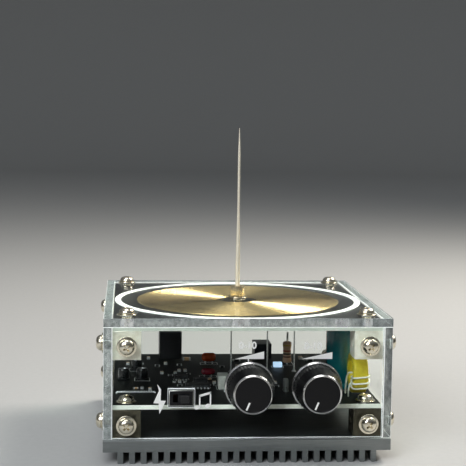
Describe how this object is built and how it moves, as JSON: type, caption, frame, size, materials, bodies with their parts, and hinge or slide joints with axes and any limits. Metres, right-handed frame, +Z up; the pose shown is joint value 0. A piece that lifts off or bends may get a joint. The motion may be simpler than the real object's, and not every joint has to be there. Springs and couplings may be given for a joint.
{
  "type": "desktop resonant transformer",
  "caption": "Clear box on a finned metal base: a flat spiral winding under the lid feeds a steel needle, with a driver board, two knobs and a slide switch.",
  "frame": {"origin": "middle of the case, on the surface that the fins stand on", "axes": "+Z up along the needle, +X to the right seen from the front, front panel and knobs at -Y"},
  "size_m": [0.1052, 0.1168, 0.1149],
  "materials": {
    "heat_sink_aluminium": "extruded and milled",
    "clear_acrylic": "polished clear sheet with laser-cut edges",
    "black_board": "glossy black solder mask",
    "winding_copper": "lacquered conductor",
    "white_ring": "white lacquer",
    "nickel": "nickel plated",
    "dark_nickel": "nickel plated, in shade",
    "needle_steel": "drawn and ground",
    "stud_brass": "turned, nickel flashed",
    "transistor_black": "moulded epoxy",
    "pad_grey": "thermal pad",
    "teal_sleeve": "shrunk sleeve",
    "yellow_core": "painted powder core",
    "white_wire": "insulated wire",
    "grey_lead": "insulated wire",
    "grey_box": "moulded",
    "orange_dip": "dipped resin",
    "red_dip": "dipped resin",
    "tan_lacquer": "lacquered with colour bands",
    "chip_black": "moulded epoxy",
    "can_black": "sleeved can",
    "lamp_clear": "moulded lens",
    "control_green": "moulded body",
    "shaft_grey": "turned",
    "black_anodised": "black anodised, turned, bright cut edges",
    "switch_steel": "tinned steel",
    "phenolic": "laminated board",
    "button_black": "moulded",
    "socket_black": "moulded"
  },
  "bodies": {
    "case": {"heat_sink": "heat_sink_aluminium", "left_wall": "clear_acrylic", "right_wall": "clear_acrylic", "front_panel": "clear_acrylic", "rear_panel": "clear_acrylic", "top_plate": "clear_acrylic", "winding_board": "black_board", "secondary_winding": "winding_copper", "primary_ring": "white_ring", "upper_blocks": "nickel", "lower_blocks": "dark_nickel", "top_screws": "nickel", "top_washers": "nickel", "front_screws": "nickel", "front_washers": "nickel", "rear_screws": "nickel", "rear_washers": "nickel", "side_screws": "nickel", "side_washers": "nickel", "base_screws": "nickel", "discharge_needle": "needle_steel", "needle_stud": "stud_brass", "needle_washer": "nickel", "needle_screw": "nickel", "main_board": "black_board", "board_screws": "nickel", "board_washers": "nickel", "power_transistors": "transistor_black", "transistor_pads": "pad_grey", "transistor_screws": "nickel", "bulk_capacitor": "teal_sleeve", "toroid_core": "yellow_core", "toroid_winding": "white_wire", "coil_leads": "grey_lead", "film_capacitor": "grey_box", "orange_capacitor": "orange_dip", "red_capacitor": "red_dip", "upright_resistor": "tan_lacquer", "driver_chips": "chip_black", "small_capacitors": "can_black", "status_lamp": "lamp_clear", "freq_control": "control_green", "power_control": "control_green", "switch_shell": "switch_steel", "switch_base": "phenolic", "power_socket": "socket_black", "audio_socket": "socket_black"},
    "freq_dial": {"freq_knob": "black_anodised", "freq_shaft": "shaft_grey"},
    "power_dial": {"power_knob": "black_anodised", "power_shaft": "shaft_grey"},
    "mode_button": {"mode_slider": "button_black"}
  },
  "joints": [
    {"name": "freq_turn", "type": "hinge", "parent": "case", "child": "freq_dial", "pos_m": [0.0002, -0.0506, 0.027], "axis": [0, 1, 0], "range_deg": [0, 300]},
    {"name": "power_turn", "type": "hinge", "parent": "case", "child": "power_dial", "pos_m": [0.0234, -0.0506, 0.027], "axis": [0, 1, 0], "range_deg": [0, 300]},
    {"name": "mode_slide", "type": "slide", "parent": "case", "child": "mode_button", "axis": [1, 0, 0], "range_m": [-0.0022, 0]}
  ]
}
